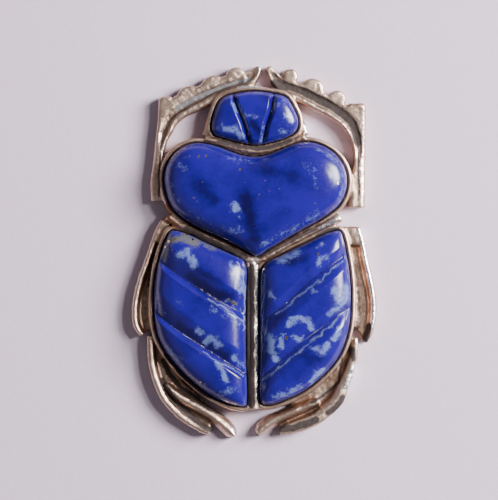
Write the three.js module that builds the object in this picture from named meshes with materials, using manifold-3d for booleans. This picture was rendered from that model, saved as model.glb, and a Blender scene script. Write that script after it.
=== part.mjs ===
// Scarab brooch: a cast silver mount set with four lapis stones, lying on its flat back.
// Millimetres, +Z up, the head towards +Y, the origin under the middle of the back.

import * as THREE from 'three';
import Module from 'manifold-3d';

const wasm = await Module();
wasm.setup();

// Overall sizes
const bodyLength = 45; // toes to hind feet
const bodyWidth = 29.5; // across the middle legs

// Silver mount
const backThickness = 1.0; // plate under the stones
const bezelWall = 0.5;
const bezelRise = 1.6; // rim above the plate
const rimRound = 0.15;
const seatClearance = 0.06; // between a stone and its bezel
const legHeight = 2.0;
const toothPlateHeight = 1.85;
const channelFloor = 1.1;
const edgeRound = 0.2;
const legGrooveDepth = 0.55;
const leftLegGroove = 0.32; // half width
const rightLegGroove = 0.5; // half width
const middleRim = 0.25; // rim round a hollow, inwards of the spine
const hindLeftRim = 0.5;
const hindRightRim = 1.15;
const hollowSlope = 0.25;
const middleHollowRun = 5; // way along a leg over which its hollow deepens
const hindHollowRun = 1.5;
const footHeight = 2.15;
const barDrop = 0.15; // bars between the bezels, below the rims
const cheekDrop = 0.2;

// Lapis stones
const girdleRise = 1.35; // upright side above the seat
const headDome = 1.7;
const pronotumDome = 2.9;
const wingDome = 2.6;
const headGrooveDepth = 0.6;
const headGrooveWidth = 0.75;
const wingGrooveDepth = 0.6;
const wingGrooveWidth = 1.1;
const cutterRise = 1.5; // groove cutter above the dome

// Shares of a section
const ridgeShoulder = 0.6;
const ridgeShoulderRise = 0.75;
const grooveLip = 1.5; // groove mouth over groove floor
const widestGroove = 0.42; // groove floor over the reach beside it
const widestRound = 0.35;

// Facets
const outlineFacets = 40;
const domeRings = 6;
const wingDomeRings = 9;
const domeInnermost = 0.9;
const toothFacets = 12;
const samplesPerStation = 2;

// The plan view in the 498 by 500 photograph
const planCentre = { x: 254.2, y: 252.5 };
const planLength = 373.3;
const planWidth = 245;
const acrossScale = bodyWidth / planWidth;
const alongScale = bodyLength / planLength;

// Stone outlines in the plan view
const headOutline = [
  [222, 99], [237, 94], [255, 92], [272, 94], [286, 98], [293, 108], [298, 120], [296.5, 131],
  [286, 138.5], [270, 143.5], [256, 146], [241, 143.5], [226, 139.5], [213.5, 134.5],
  [211.5, 126], [215, 111],
];
const pronotumOutline = [
  [253, 157], [238, 154.5], [221, 148], [205, 144], [189, 144.5], [174, 154], [165.5, 170],
  [165.5, 190], [174, 210], [193, 225], [222, 238.5], [247, 251.5], [256, 256.5], [265, 251.5],
  [294, 234.5], [322, 218.5], [339, 205], [346.5, 188], [345, 169.5], [334, 153.5],
  [315, 143.5], [299, 143], [282, 149], [267, 155],
];
const leftWingOutline = [
  [171, 231], [184, 232.5], [205, 242], [230, 253.5], [244, 260.5], [246.5, 266], [246, 300],
  [246, 350], [247, 398], [245.5, 405.5], [232, 404], [213, 396], [192, 380.5], [172, 359.5],
  [159, 338], [154.5, 315], [154.5, 290], [158.5, 262], [166, 240],
];
const rightWingOutline = [
  [339.5, 231], [328, 232.5], [305, 243], [281, 255], [265, 263.5], [261.5, 269], [260, 300],
  [260, 350], [260, 397], [263, 404.5], [280, 401], [302, 391], [323, 374.5], [339, 355],
  [348, 330], [350.5, 305], [349.5, 275], [345.5, 250],
];

// Carved grooves in the plan view, each running past the stone's edge
const headGrooves = [
  [[231, 86], [237, 105], [245, 125], [251, 152]],
  [[275, 86], [271, 112], [267, 126], [261, 152]],
];
const leftWingGrooves = [
  [[150, 252], [175, 272], [209, 294], [256, 325]],
  [[147, 317], [180, 335], [220, 358], [257, 379]],
];
const rightWingGrooves = [
  [[356, 246], [311, 280], [286, 303], [251, 330]],
  [[359, 300], [330, 320], [290, 351], [250, 388]],
];

// Leg spines in the plan view: x, y, reach outwards and reach inwards
const frontLeft = [
  [259.3, 68.8, 2.6, 2.4], [255.5, 72.5, 4.2, 6.5], [249, 78, 5.5, 9.5], [240, 82.5, 8.5, 9],
  [225, 87.5, 10.5, 11], [210, 93, 10.5, 11.8], [195, 100, 10.5, 12], [182, 107.5, 12.5, 10.5],
  [173.5, 114, 12.5, 10.4], [168, 121, 10, 9.5], [164.5, 130, 7.6, 8.8], [161.5, 140, 5.6, 6.2],
  [159.5, 152, 4.9, 4.8], [157.5, 167, 4.6, 5.5], [155.7, 185, 5.2, 7.5], [156.5, 201, 5, 8],
];
const frontRight = [
  [268.6, 69.2, 2.4, 2.6], [272.5, 74, 4.6, 5.5], [278, 81, 5, 8], [288, 87.5, 7.8, 9],
  [302, 93, 8.6, 11], [317, 100.5, 9.3, 11], [332, 108, 9.5, 10.8], [341.5, 114.5, 10, 10],
  [348, 120, 10.8, 10], [353, 127.5, 11, 9], [356.5, 137, 8.2, 7.3], [358.5, 148, 6.3, 6],
  [359, 163, 5.8, 6], [359, 180, 5.7, 9], [359.3, 195, 5.4, 11], [359.8, 207.5, 4.4, 13],
];
const middleLeft = [
  [163, 220.5, 2, 8], [157.6, 231, 2.5, 9], [151, 250, 2.5, 10], [144.8, 268, 2.7, 12],
  [139, 286, 2.9, 15], [135.8, 302, 3, 18], [135, 315, 3, 18], [136.8, 326, 3, 17.5],
  [142, 334.5, 2.5, 14],
];
const middleRight = [
  [358, 227.5, 2, 16], [361.5, 241, 2.6, 17], [365.2, 260, 2.7, 17], [369, 278, 3, 18],
  [372.3, 296, 3.2, 20], [373, 310, 3.2, 21], [372, 323, 3, 21], [370.3, 332, 2, 16],
  [366, 342, 1, 3],
];
const hindLeft = [
  [149.4, 335.5, 2, 9], [149.6, 352, 2, 14], [151.6, 368, 2, 19], [156, 383.5, 2, 24],
  [164.2, 400, 2, 27], [175.8, 413, 2, 29], [190, 423.6, 2, 27], [203.5, 430.6, 2, 17],
  [210, 433, 1.8, 5],
];
const hindRight = [
  [356, 337.5, 2, 12], [355, 356, 2, 13], [352.8, 364, 2, 15], [351, 374, 2.2, 20],
  [345.5, 389, 2.2, 25], [340, 402, 2.4, 30], [328, 413.8, 2.4, 31], [318, 421.4, 2.4, 31],
  [301, 428.6, 2.4, 28], [288, 431.6, 2.2, 22], [280, 432.2, 2, 12],
];
const footLeft = [
  [165, 384, 3, 3], [180, 396.5, 5.5, 5.5], [197, 406.5, 6, 6], [212, 415, 6, 6.5],
  [225, 425.5, 6.8, 7], [231.5, 431.5, 6.6, 6], [235, 435, 3.2, 3.2],
];
const footRight = [
  [318, 401, 5, 5], [302, 407.5, 6, 6], [285, 414.5, 6.5, 6.5], [271, 421, 7, 7],
  [262, 428, 6.8, 6.8], [257.6, 433, 3.6, 3.6],
];
const wingBar = [
  [254.5, 262, 7, 7], [253.5, 300, 6.5, 6.5], [253.5, 350, 6.5, 6.5], [253.8, 409, 9, 9],
];
const shoulderBar = [
  [171, 221, 5, 5], [195, 232, 6, 6], [222, 244.5, 6, 6], [255, 260, 7, 7],
  [285, 245.5, 6, 6], [315, 230, 6, 6], [338, 219, 6, 6],
];
const neckBar = [
  [207, 140, 5, 5], [230, 146.5, 5, 5], [256, 151.5, 5, 5], [280, 147, 5, 5], [303, 138, 5, 5],
];
// Round teeth and toe tips in the plan view: x, y and radius
const leftTeeth = [[258, 70, 3.4], [236, 78.2, 10.3], [214.5, 89.5, 13.6], [190, 99, 12.8]];
const rightTeeth = [[269.4, 70.3, 3.7], [289.8, 77.2, 7.7], [312, 90.8, 11.9], [336.3, 100, 9.1]];

// Square plates at the elbows and wedges beside the head, as corners in the plan view
const leftElbow = [
  [171.5, 97.2], [161.6, 97.2], [159.2, 99.2], [158.6, 104], [157.4, 134], [165, 128], [178, 110],
];
const rightElbow = [
  [345.5, 106], [350, 104], [362.6, 103.4], [365.2, 106], [365.2, 140], [358, 136], [345, 114],
];
const leftCheek = [[212, 112], [206.5, 121], [203, 136], [212, 139], [216, 126]];
const rightCheek = [[296, 109], [300.5, 115], [308.6, 134], [302, 138.5], [294, 126]];

// Materials
const silver = new THREE.MeshStandardMaterial({ color: 0xb8a58f, roughness: 0.38, metalness: 1 });
const lapis = new THREE.MeshStandardMaterial({ color: 0x23247a, roughness: 0.2, metalness: 0 });

// Turns a point of the plan view into millimetres
function onPlan([across, down]) {
  return new THREE.Vector2((across - planCentre.x) * acrossScale, (planCentre.y - down) * alongScale);
}

// Closed smooth outline through the plan points, counter-clockwise
function smoothOutline(points) {
  const knots = points.map((point) => new THREE.Vector3(...onPlan(point), 0));
  const curve = new THREE.CatmullRomCurve3(knots, true, 'centripetal');
  const ring = curve.getSpacedPoints(outlineFacets).slice(0, outlineFacets);
  const outline = ring.map(({ x, y }) => new THREE.Vector2(x, y));
  return THREE.ShapeUtils.isClockWise(outline) ? outline.reverse() : outline;
}

// Moves every point of a counter-clockwise outline outwards
function offsetOutline(outline, distance) {
  const count = outline.length;
  return outline.map((point, i) => {
    const before = outline[(i + count - 1) % count];
    const along = outline[(i + 1) % count].clone().sub(before).normalize();
    return new THREE.Vector2(point.x + along.y * distance, point.y - along.x * distance);
  });
}

// Nought on the outline and growing smoothly inwards, whatever the outline's shape
function inwardDistance(point, outline) {
  let sum = 0;
  outline.forEach((start, i) => {
    const toStart = start.clone().sub(point);
    const toEnd = outline[(i + 1) % outline.length].clone().sub(point);
    const angle = Math.atan2(toStart.cross(toEnd), toStart.dot(toEnd));
    sum += Math.tan(angle / 2) * (1 / toStart.length() + 1 / toEnd.length());
  });
  return 2 / sum;
}

// Closed solid through counter-clockwise sections with equal numbers of points
function loft(sections, place) {
  const count = sections[0].length;
  const last = (sections.length - 1) * count;
  const corners = sections.flatMap((section, i) => section.map((point) => place(point, i)));
  const triangles = [];
  for (let start = 0; start < last; start += count) {
    for (let i = 0; i < count; i += 1) {
      const next = (i + 1) % count;
      triangles.push(start + i, start + next, start + next + count);
      triangles.push(start + i, start + next + count, start + i + count);
    }
  }
  THREE.ShapeUtils.triangulateShape(sections[0], []).forEach(([a, b, c]) => triangles.push(c, b, a));
  THREE.ShapeUtils.triangulateShape(sections.at(-1), []).forEach(([a, b, c]) => {
    triangles.push(last + a, last + b, last + c);
  });
  const vertProperties = new Float32Array(corners.flatMap(({ x, y, z }) => [x, y, z]));
  const triVerts = new Uint32Array(triangles);
  return new wasm.Manifold(new wasm.Mesh({ numProp: 3, vertProperties, triVerts }));
}

// Stack of outlines, each at its own height
function stack(levels) {
  return loft(levels.map(({ outline }) => outline), ({ x, y }, i) => new THREE.Vector3(x, y, levels[i].z));
}

// Point, direction and reaches at even steps along a spine of the plan view
function walkSpine(stations, samples) {
  const knots = stations.map((station) => new THREE.Vector3(...onPlan(station), 0));
  const curve = new THREE.CatmullRomCurve3(knots, false, 'centripetal');
  const steps = (stations.length - 1) * samples;
  let travelled = 0;
  let previous = knots[0];
  return Array.from({ length: steps + 1 }, (_, i) => {
    const point = curve.getPoint(i / steps);
    travelled += point.distanceTo(previous);
    previous = point;
    const from = Math.min(Math.floor(i / samples), stations.length - 2);
    const share = i / samples - from;
    const reach = (k) => THREE.MathUtils.lerp(stations[from][k], stations[from + 1][k], share) * acrossScale;
    return { point, along: curve.getTangent(i / steps), travelled, outer: reach(2), inner: reach(3) };
  });
}

// Solid that follows a spine: side is 1 where outwards is to the left of the way along, else -1
function sweep(stations, side, ringAt) {
  const steps = walkSpine(stations, samplesPerStation);
  if (side < 0) steps.reverse();
  const rings = steps.map((step) => ringAt(step).map(([across, up]) => new THREE.Vector2(across, up)));
  return loft(rings, ({ x: across, y: up }, i) => {
    const { point, along } = steps[i];
    return new THREE.Vector3(
      point.x - along.y * across * side,
      point.y + along.x * across * side,
      up,
    );
  });
}

// Solid that stands on the back, given the top line of its section from the inner to the outer side
function strip(stations, side, topAt) {
  return sweep(stations, side, (step) => {
    const top = topAt(step);
    return [[top[0][0], 0], [top.at(-1)[0], 0], ...top.reverse()];
  });
}

// Cutter for the groove along a front leg, behind its toe
function legGroove(stations, grooveHalf) {
  const floor = legHeight - legGrooveDepth;
  const high = legHeight + cutterRise;
  const spread = (grooveLip - 1) * ((high - floor) / legGrooveDepth);
  return sweep(stations.slice(2), 1, ({ inner, outer }) => {
    const half = Math.min(grooveHalf, widestGroove * inner, widestGroove * outer);
    const mouth = half * (1 + spread);
    return [[-half, floor], [half, floor], [mouth, high], [-mouth, high]];
  });
}

// Flat piece with a chamfered top edge
function plate(outline, top) {
  return stack([
    { outline, z: 0 },
    { outline, z: top - edgeRound },
    { outline: offsetOutline(outline, -edgeRound), z: top },
  ]);
}

// Counter-clockwise outline with straight sides
function cornered(points) {
  const outline = points.map(onPlan);
  return THREE.ShapeUtils.isClockWise(outline) ? outline.reverse() : outline;
}

// Round tooth or toe tip on the plate of a front leg
function tooth([across, down, reach]) {
  const centre = onPlan([across, down]);
  const radius = reach * acrossScale;
  const circle = Array.from({ length: toothFacets }, (_, i) => {
    const turn = (i / toothFacets) * 2 * Math.PI;
    return new THREE.Vector2(centre.x + radius * Math.cos(turn), centre.y + radius * Math.sin(turn));
  });
  return plate(circle, toothPlateHeight);
}

// Front leg: an inner ridge, a groove along the spine and a toothed outer plate with a square elbow
function frontLeg(stations, side, grooveHalf, teeth, elbow) {
  const spine = strip(stations, side, ({ inner, outer }) => {
    const innerRound = Math.min(edgeRound, widestRound * inner);
    const outerRound = Math.min(edgeRound, widestRound * outer);
    return [
      [-inner, legHeight - edgeRound],
      [-inner + innerRound, legHeight],
      [0, legHeight],
      [0, toothPlateHeight],
      [outer - outerRound, toothPlateHeight],
      [outer, toothPlateHeight - edgeRound],
    ];
  });
  const whole = [...teeth.map(tooth), plate(cornered(elbow), toothPlateHeight)]
    .reduce((sum, solid) => sum.add(solid), spine);
  return whole.subtract(legGroove(stations, grooveHalf));
}

// Middle or hind leg: a raised rim round a hollow that deepens along the leg and runs in under the bezel
function hollowLeg(stations, side, rimWidth, hollowRun) {
  return strip(stations, side, ({ inner, outer, travelled }) => {
    const rim = Math.min(rimWidth, widestRound * inner);
    const slope = Math.min(rim + hollowSlope, ridgeShoulder * inner);
    const deepened = Math.min(travelled / hollowRun, 1);
    const floor = THREE.MathUtils.lerp(legHeight - edgeRound, channelFloor, deepened);
    return [
      [-inner, floor],
      [-slope, floor],
      [-rim, legHeight],
      [outer - Math.min(edgeRound, widestRound * outer), legHeight],
      [outer, legHeight - edgeRound],
    ];
  });
}

// Foot: a rounded ridge that crosses the hollow of a hind leg
function foot(stations, side) {
  const shoulder = channelFloor + (footHeight - channelFloor) * ridgeShoulderRise;
  return strip(stations, side, ({ inner, outer }) => [
    [-inner, channelFloor],
    [-inner * ridgeShoulder, shoulder],
    [0, footHeight],
    [outer * ridgeShoulder, shoulder],
    [outer, channelFloor],
  ]);
}

// Solid block of one bezel, before its pocket is cut
function bezelBlock(outline) {
  const rimTop = backThickness + bezelRise;
  const reach = seatClearance + bezelWall;
  return stack([
    { outline: offsetOutline(outline, reach), z: 0 },
    { outline: offsetOutline(outline, reach), z: rimTop - rimRound },
    { outline: offsetOutline(outline, reach - rimRound), z: rimTop },
  ]);
}

// Space that a stone drops into, open above
function pocket(outline) {
  const mouth = offsetOutline(outline, seatClearance);
  return stack([
    { outline: mouth, z: backThickness },
    { outline: mouth, z: backThickness + bezelRise + cutterRise },
  ]);
}

// Bar that fills the seam between two bezels
function bar(stations) {
  const top = backThickness + bezelRise - barDrop;
  return strip(stations, 1, ({ inner, outer }) => [[-inner, top], [outer, top]]);
}

// Domed stone standing on its seat
function cabochon(outline, dome, ringCount) {
  const centre = outline.reduce((sum, point) => sum.add(point), new THREE.Vector2());
  centre.divideScalar(outline.length);
  const deepest = inwardDistance(centre, outline);
  const girdle = backThickness + girdleRise;
  const heightAt = (point) => {
    const share = THREE.MathUtils.clamp(inwardDistance(point, outline) / deepest, 0, 1);
    return girdle + dome * Math.sqrt(1 - (1 - share) ** 2);
  };
  const rings = Array.from({ length: ringCount }, (_, i) => {
    const share = domeInnermost * (1 - Math.cos(((i + 1) / ringCount) * (Math.PI / 2)));
    return outline.map((point) => point.clone().lerp(centre, share));
  });
  const heights = [() => backThickness, () => girdle, ...rings.map(() => heightAt)];
  const solid = loft([outline, outline, ...rings], (point, i) => (
    new THREE.Vector3(point.x, point.y, heights[i](point))
  ));
  return { solid, heightAt };
}

// Cutter for a carved groove that follows the top of a stone
function grooveCutter(path, heightAt, depth, width) {
  const knots = path.map((point) => new THREE.Vector3(...onPlan(point), 0));
  const curve = new THREE.CatmullRomCurve3(knots, false, 'centripetal');
  const steps = curve.getSpacedPoints(path.length * samplesPerStation);
  const halfMouth = (width / 2) * ((depth + cutterRise) / depth);
  const section = [
    new THREE.Vector2(0, -depth),
    new THREE.Vector2(halfMouth, cutterRise),
    new THREE.Vector2(-halfMouth, cutterRise),
  ];
  return loft(steps.map(() => section), ({ x: across, y: up }, i) => {
    const along = curve.getTangentAt(i / (steps.length - 1));
    return new THREE.Vector3(
      steps[i].x - along.y * across,
      steps[i].y + along.x * across,
      heightAt(new THREE.Vector2(steps[i].x, steps[i].y)) + up,
    );
  });
}

// Stone with its grooves cut
function carvedStone(outline, dome, ringCount, grooves, depth, width) {
  const { solid, heightAt } = cabochon(outline, dome, ringCount);
  return grooves.reduce(
    (stone, path) => stone.subtract(grooveCutter(path, heightAt, depth, width)),
    solid,
  );
}

// Mount: blocks and legs joined, then the pockets cut
function silverMount(outlines) {
  const legs = [
    frontLeg(frontLeft, -1, leftLegGroove, leftTeeth, leftElbow),
    frontLeg(frontRight, 1, rightLegGroove, rightTeeth, rightElbow),
    hollowLeg(middleLeft, -1, middleRim, middleHollowRun),
    hollowLeg(middleRight, 1, middleRim, middleHollowRun),
    hollowLeg(hindLeft, -1, hindLeftRim, hindHollowRun),
    hollowLeg(hindRight, 1, hindRightRim, hindHollowRun),
    foot(footLeft, -1),
    foot(footRight, 1),
  ];
  const blocks = outlines.map(bezelBlock);
  const bars = [wingBar, shoulderBar, neckBar].map(bar);
  const cheekTop = backThickness + bezelRise - cheekDrop;
  const cheeks = [leftCheek, rightCheek].map((corners) => plate(cornered(corners), cheekTop));
  const joined = [...blocks, ...legs, ...bars, ...cheeks];
  const whole = joined.reduce((sum, solid) => sum.add(solid));
  return outlines.map(pocket).reduce((rest, cut) => rest.subtract(cut), whole);
}

// Mesh of a finished solid
function asMesh(name, solid, material) {
  const { vertProperties, triVerts } = solid.getMesh();
  const geometry = new THREE.BufferGeometry();
  geometry.setAttribute('position', new THREE.BufferAttribute(new Float32Array(vertProperties), 3));
  geometry.setIndex(new THREE.BufferAttribute(new Uint32Array(triVerts), 1));
  geometry.computeVertexNormals();
  const mesh = new THREE.Mesh(geometry, material);
  mesh.name = name;
  return mesh;
}

const head = smoothOutline(headOutline);
const pronotum = smoothOutline(pronotumOutline);
const leftWing = smoothOutline(leftWingOutline);
const rightWing = smoothOutline(rightWingOutline);

const headStone = carvedStone(
  head, headDome, domeRings, headGrooves, headGrooveDepth, headGrooveWidth,
);
const leftStone = carvedStone(
  leftWing, wingDome, wingDomeRings, leftWingGrooves, wingGrooveDepth, wingGrooveWidth,
);
const rightStone = carvedStone(
  rightWing, wingDome, wingDomeRings, rightWingGrooves, wingGrooveDepth, wingGrooveWidth,
);

const brooch = new THREE.Group();
brooch.add(
  asMesh('silver_mount', silverMount([head, pronotum, leftWing, rightWing]), silver),
  asMesh('head_stone', headStone, lapis),
  asMesh('pronotum_stone', cabochon(pronotum, pronotumDome, domeRings).solid, lapis),
  asMesh('left_wing_stone', leftStone, lapis),
  asMesh('right_wing_stone', rightStone, lapis),
);

// The middle of the whole stands over the origin
const middle = new THREE.Box3().setFromObject(brooch).getCenter(new THREE.Vector3());
brooch.position.set(-middle.x, -middle.y, 0);

export default brooch;
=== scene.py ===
"""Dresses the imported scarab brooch: cast silver, burnished bezel lips and four lapis stones."""
import math

import bmesh
import bpy
import numpy as np
from bpy.props import FloatProperty, FloatVectorProperty, IntProperty, PointerProperty
from mathutils import Matrix, Vector, noise
from mathutils.bvhtree import BVHTree


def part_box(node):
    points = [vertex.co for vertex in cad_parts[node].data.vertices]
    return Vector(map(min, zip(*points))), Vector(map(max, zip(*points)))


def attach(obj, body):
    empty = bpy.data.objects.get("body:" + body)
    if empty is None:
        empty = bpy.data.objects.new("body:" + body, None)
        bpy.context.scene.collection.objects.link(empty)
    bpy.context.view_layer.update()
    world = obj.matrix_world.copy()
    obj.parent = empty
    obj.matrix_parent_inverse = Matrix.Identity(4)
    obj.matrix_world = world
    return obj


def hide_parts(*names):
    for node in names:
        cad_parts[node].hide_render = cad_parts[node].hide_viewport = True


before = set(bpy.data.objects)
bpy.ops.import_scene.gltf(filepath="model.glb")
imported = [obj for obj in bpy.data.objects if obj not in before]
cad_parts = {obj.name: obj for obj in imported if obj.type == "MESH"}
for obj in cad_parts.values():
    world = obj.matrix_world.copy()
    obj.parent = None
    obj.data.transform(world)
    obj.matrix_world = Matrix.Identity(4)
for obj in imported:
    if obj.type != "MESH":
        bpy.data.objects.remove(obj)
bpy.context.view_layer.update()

bl_info = {
    "name": "Scarab Brooch",
    "version": (1, 0, 0),
    "blender": (4, 5, 0),
    "location": "View3D > Sidebar > Scarab",
    "description": "Builds the silver mount, the bezel lips, the lapis stones and the stage",
    "category": "Object",
}

MM = 0.001
STONES = ("head_stone", "pronotum_stone", "left_wing_stone", "right_wing_stone")

# Sizes shared with the mount, in millimetres
BODY_LENGTH = 45.0
BODY_WIDTH = 29.5
BACK_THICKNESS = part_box("head_stone")[0].z / MM
RIM_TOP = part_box("silver_mount")[1].z / MM
BEZEL_WALL = 0.5
SEAT_CLEARANCE = 0.06
GIRDLE_RISE = 1.35
CUT_RISE = 1.5
EDGE_ROUND = 0.2
LEG_GROOVE = 0.34
LEFT_LEG_GROOVE = 0.32  # half width
RIGHT_LEG_GROOVE = 0.5  # half width
# Depth of a front leg's groove, as a share, at distances along the leg: toe, knee and femur
GROOVE_RUN = (0, 1.2, 13, 15)
GROOVE_SHARE = (0, 1, 1, 0.15)
MIDDLE_RIM = 0.25
HIND_LEFT_RIM = 0.5
HIND_RIGHT_RIM = 1.15
HOLLOW_SLOPE = 0.3
MIDDLE_HOLLOW_RUN = 5
HIND_HOLLOW_RUN = 1.5
CHEEK_DROP = 0.2
BAR_ARCH = 0.5  # a bar rounds down this far to its sides

# Shares of a section, and how a rounded ridge lies about the height of its leg
WIDEST_GROOVE = 0.42
WIDEST_ROUND = 0.35
GROOVE_LIP = 1.5  # groove mouth over groove floor
RIDGE_SHOULDER = 0.6
RIDGE_SHOULDER_RISE = 0.75
RIDGE_RISE = 0.05
RIDGE_DROP = 0.04
RIM_INNER_DROP = 0.08
RIM_OUTER_DROP = 0.06
SIDE_DROP = 0.3

# Rounded top edges: inset, or share of the radius, and height from the top
PLATE_EDGE = ((0, -0.25), (-0.09, -0.08), (-0.25, 0))
TOOTH_EDGE = ((1, -0.3), (0.97, -0.14), (0.9, -0.04), (0.7, 0))
BEZEL_EDGE = ((0, -0.3), (-0.04, -0.15), (-0.12, -0.08))

# Fineness of the meshes
OUTLINE_SAMPLES = 8
BEZEL_POINTS = 220
LIP_POINTS = 240
LIP_SIDES = 12
PLATE_POINTS = 80
TOOTH_POINTS = 40
ARCH_POINTS = 13
FRONT_SAMPLES = 12
LEG_SAMPLES = 10
BAR_SAMPLES = 12
GROOVE_SAMPLES = 24
STONE_POINTS = 360
STONE_RINGS = 96
VOXEL = 0.12
MOUNT_TRIANGLES = 185000
TINY = 1e-6  # keeps a length off nought
LEVEL = 1e-3  # corners this little above the lowest are level with it
BLOCK = 2000  # places worked on at once
DIGITS = 4  # that tell two corners apart

# Wear of the casting: smoothing, and the scales of its swell and its grain
WEAR_FACTOR = 0.5
WEAR_ROUNDS = 2
SWELL_SCALE = 0.8
GRAIN_SCALE = 2.2
GRAIN = (0.7, 2.1, 4)  # falling off, step between scales and number of scales

# Shelter of a surface: rays, their reach and start, and the strength on each piece
RAYS = 16
RAY_REACH = 1.6
RAY_START = 0.02
MOUNT_SHELTER = 1.5
LIP_SHELTER = 1.2

# Carving of the stones, the dust and dirt that gather on them, the painted shade in their grooves and along
# their edges, and the painted sheen along their edges
GROOVE_CURVE = 1.25
GROOVE_FADE = 0.5
SHALLOWEST = 0.3
# Dirt and painted shade along the grooves' bottoms and in the gaps at the stones' edges: strength and reach
GROOVE_GRIME_AND_SHADE = (0.85, 0.13)  # strength and reach
EDGE_GRIME_AND_SHADE = (0.8, 0.06)
# Dust and painted sheen in a pale band along the stones' edges: strength and reach
EDGE_DUST_AND_SHEEN = (0.85, 0.55)
SPECK_SPREAD = 1.4
STONE_SHARP = math.radians(50)
SILVER_WAVER = (1.1, 0.12)  # scale and reach
STONE_WAVER = (1.3, 0.3)
WAVER_LEVELS = (3.1, 8.7)  # where the noise is read for each way across the plan
MID_NOISE = 0.5  # middle of a noise pattern

# The plan view in the 498 by 500 photograph
IMAGE_SIZE = (498, 500)
PLAN_CENTRE = (254.2, 252.5)
PLAN_LENGTH = 373.3
PLAN_WIDTH = 245.0
PLAN_SHIFT = (0.012, -0.069)  # millimetres from the plan's centre to the frame's origin
ACROSS = BODY_WIDTH / PLAN_WIDTH
ALONG = BODY_LENGTH / PLAN_LENGTH

# Leg spines in the plan view: x, y, reach outwards and reach inwards
FRONT_LEFT = (
    (259.3, 68.8, 2.6, 2.4), (255.5, 72.5, 4.2, 6.5), (249, 78, 5.5, 9.5), (240, 82.5, 8.5, 9),
    (225, 87.5, 10.5, 11), (210, 93, 10.5, 11.8), (195, 100, 10.5, 12), (182, 107.5, 12.5, 10.5),
    (173.5, 114, 12.5, 10.4), (168, 121, 10, 9.5), (164.5, 130, 7.6, 8.8), (161.5, 140, 5.6, 6.2),
    (159.5, 152, 4.9, 4.8), (157.5, 167, 4.6, 5.5), (155.7, 185, 5.2, 7.5), (156.5, 201, 5, 8),
)
FRONT_RIGHT = (
    (268.6, 69.2, 2.4, 2.6), (272.5, 74, 4.6, 5.5), (278, 81, 5, 8), (288, 87.5, 7.8, 9),
    (302, 93, 8.6, 11), (317, 100.5, 9.3, 11), (332, 108, 9.5, 10.8), (341.5, 114.5, 10, 10),
    (348, 120, 10.8, 10), (353, 127.5, 11, 9), (356.5, 137, 8.2, 7.3), (358.5, 148, 6.3, 6),
    (359, 163, 5.8, 6), (359, 180, 5.7, 9), (359.3, 195, 5.4, 11), (359.8, 207.5, 4.4, 13),
)
MIDDLE_LEFT = (
    (163, 220.5, 2, 8), (157.6, 231, 2.5, 9), (151, 250, 2.5, 10), (144.8, 268, 2.7, 12),
    (139, 286, 2.9, 15), (135.8, 302, 3, 18), (135, 315, 3, 18), (136.8, 326, 3, 17.5),
    (142, 334.5, 2.5, 14),
)
MIDDLE_RIGHT = (
    (358, 227.5, 2, 16), (361.5, 241, 2.6, 17), (365.2, 260, 2.7, 17), (369, 278, 3, 18),
    (372.3, 296, 3.2, 20), (373, 310, 3.2, 21), (372, 323, 3, 21), (370.3, 332, 2, 16),
    (366, 342, 1, 3),
)
HIND_LEFT = (
    (149.4, 335.5, 2, 9), (149.6, 352, 2, 14), (151.6, 368, 2, 19), (156, 383.5, 2, 24),
    (164.2, 400, 2, 27), (175.8, 413, 2, 29), (190, 423.6, 2, 27), (203.5, 430.6, 2, 17),
    (210, 433, 1.8, 5),
)
HIND_RIGHT = (
    (356, 337.5, 2, 12), (355, 356, 2, 13), (352.8, 364, 2, 15), (351, 374, 2.2, 20),
    (345.5, 389, 2.2, 25), (340, 402, 2.4, 30), (328, 413.8, 2.4, 31), (318, 421.4, 2.4, 31),
    (301, 428.6, 2.4, 28), (288, 431.6, 2.2, 22), (280, 432.2, 2, 12),
)
FOOT_LEFT = (
    (165, 384, 3, 3), (180, 396.5, 5.5, 5.5), (197, 406.5, 6, 6), (212, 415, 6, 6.5),
    (225, 425.5, 6.8, 7), (231.5, 431.5, 6.6, 6), (235, 435, 3.2, 3.2),
)
FOOT_RIGHT = (
    (318, 401, 5, 5), (302, 407.5, 6, 6), (285, 414.5, 6.5, 6.5), (271, 421, 7, 7),
    (262, 428, 6.8, 6.8), (257.6, 433, 3.6, 3.6),
)
# Legs with the side that outwards is on, and a groove's half width or a rim and the run of its hollow
FRONT_LEGS = ((FRONT_LEFT, -1, LEFT_LEG_GROOVE), (FRONT_RIGHT, 1, RIGHT_LEG_GROOVE))
HOLLOW_LEGS = (
    (MIDDLE_LEFT, -1, MIDDLE_RIM, MIDDLE_HOLLOW_RUN), (MIDDLE_RIGHT, 1, MIDDLE_RIM, MIDDLE_HOLLOW_RUN),
    (HIND_LEFT, -1, HIND_LEFT_RIM, HIND_HOLLOW_RUN), (HIND_RIGHT, 1, HIND_RIGHT_RIM, HIND_HOLLOW_RUN),
)
FEET = ((FOOT_LEFT, -1), (FOOT_RIGHT, 1))
# Rounded bars over the seams between the stones
WING_BAR = ((253, 260, 4.4, 4.4), (253, 300, 4.4, 4.4), (253, 350, 4.4, 4.4), (253.5, 409, 6, 6))
SHOULDER_BAR = (
    (168, 216, 4, 5), (180, 225, 4, 4), (195, 232, 3.8, 3.8), (222, 244.5, 3.8, 3.8),
    (255, 260.5, 4.2, 4.2), (285, 245.5, 3.8, 3.8), (315, 230, 3.8, 3.8), (340, 217, 5, 5),
)
NECK_BAR = (
    (205, 139, 4, 4), (230, 146, 4, 4), (256, 152, 4, 4), (280, 147, 4, 4), (305, 137, 4, 4),
)
BARS = (WING_BAR, SHOULDER_BAR, NECK_BAR)
# Round teeth and toe tips: x, y and radius
LEFT_TEETH = ((258, 70, 3.4), (236, 78.2, 10.3), (214.5, 89.5, 13.6), (190, 99, 12.8))
RIGHT_TEETH = ((269.4, 70.3, 3.7), (289.8, 77.2, 7.7), (312, 90.8, 11.9), (336.3, 100, 9.1))
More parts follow.
